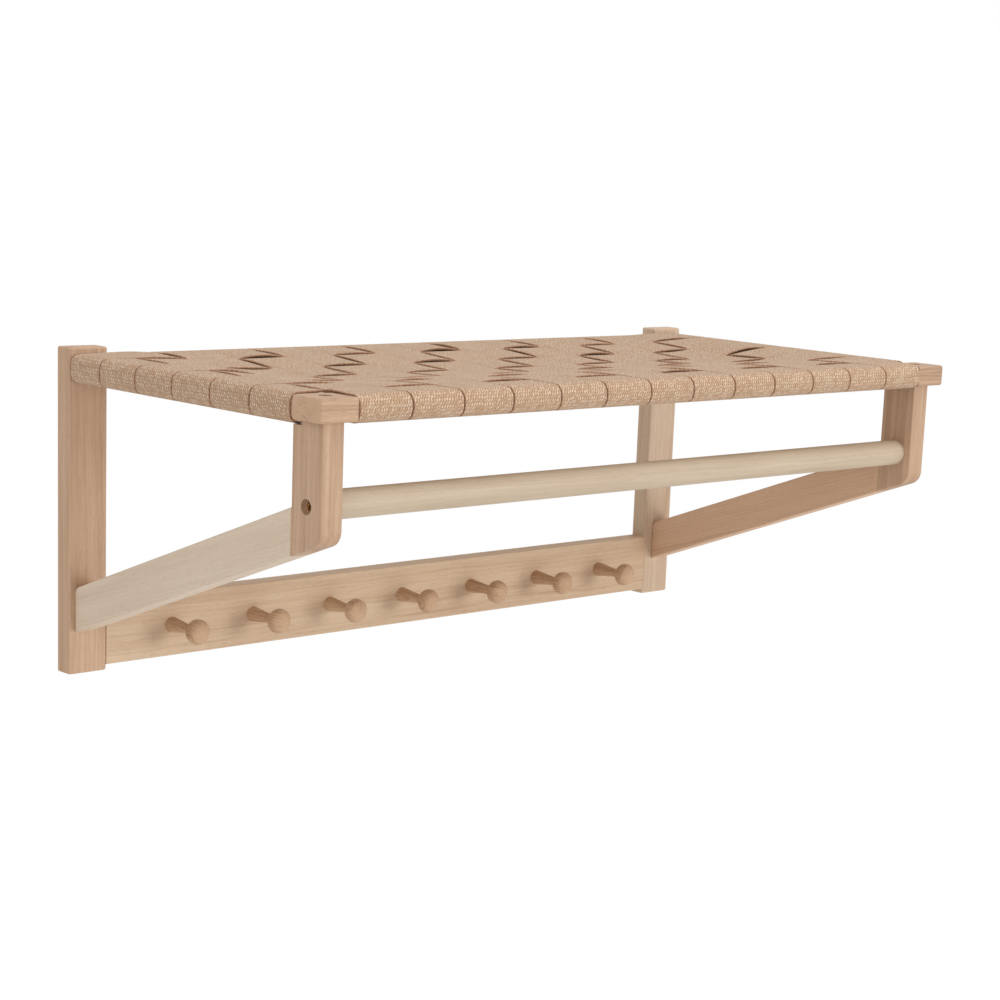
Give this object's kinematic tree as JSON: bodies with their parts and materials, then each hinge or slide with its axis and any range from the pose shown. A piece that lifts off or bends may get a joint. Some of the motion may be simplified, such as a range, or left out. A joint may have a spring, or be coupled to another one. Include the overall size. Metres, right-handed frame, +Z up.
{
  "type": "wall coat rack",
  "caption": "Wall rack with a woven webbing hat shelf on a rail frame, a clothes rod on braced legs and a rail of turned coat pegs.",
  "frame": {"origin": "midway between the two wall-screw keyholes, in the plane of the wall", "axes": "+X along the wall to the right as seen from the room, +Y into the wall, +Z up"},
  "size_m": [0.8, 0.3848, 0.298],
  "materials": {
    "oiled_beech": "oiled, fine straight grain",
    "turned_beech": "turned and oiled",
    "webbing": "coarse woven band",
    "zinc_plate": "zinc plated",
    "zinc_screw": "zinc plated",
    "bronze_screw": "bronzed, satin",
    "beech_dowel": "unfinished",
    "staple_wire": "galvanised"
  },
  "bodies": {
    "root": {"back_rail": "oiled_beech", "front_rail": "oiled_beech", "hanging_rod": "oiled_beech", "left_brace": "oiled_beech", "left_leg": "oiled_beech", "left_post": "oiled_beech", "left_side_rail": "oiled_beech", "peg_rail": "oiled_beech", "right_brace": "oiled_beech", "right_leg": "oiled_beech", "right_post": "oiled_beech", "right_side_rail": "oiled_beech", "peg_1": "turned_beech", "peg_2": "turned_beech", "peg_3": "turned_beech", "peg_4": "turned_beech", "peg_5": "turned_beech", "peg_6": "turned_beech", "peg_7": "turned_beech", "long_strap_1": "webbing", "long_strap_2": "webbing", "long_strap_3": "webbing", "long_strap_4": "webbing", "long_strap_5": "webbing", "long_strap_6": "webbing", "cross_strap_01": "webbing", "cross_strap_02": "webbing", "cross_strap_03": "webbing", "cross_strap_04": "webbing", "cross_strap_05": "webbing", "cross_strap_06": "webbing", "cross_strap_07": "webbing", "cross_strap_08": "webbing", "cross_strap_09": "webbing", "cross_strap_10": "webbing", "cross_strap_11": "webbing", "cross_strap_12": "webbing", "cross_strap_13": "webbing", "left_hanger_plate": "zinc_plate", "right_hanger_plate": "zinc_plate", "hanger_screws": "zinc_screw", "side_rail_screws": "zinc_screw", "brace_screws": "zinc_screw", "rod_screws": "bronze_screw", "front_rail_screws": "bronze_screw", "peg_rail_dowels": "beech_dowel", "back_rail_dowels": "beech_dowel", "front_corner_dowels": "beech_dowel", "brace_dowels": "beech_dowel", "cross_strap_staples": "staple_wire", "long_strap_staples": "staple_wire"}
  },
  "joints": []
}
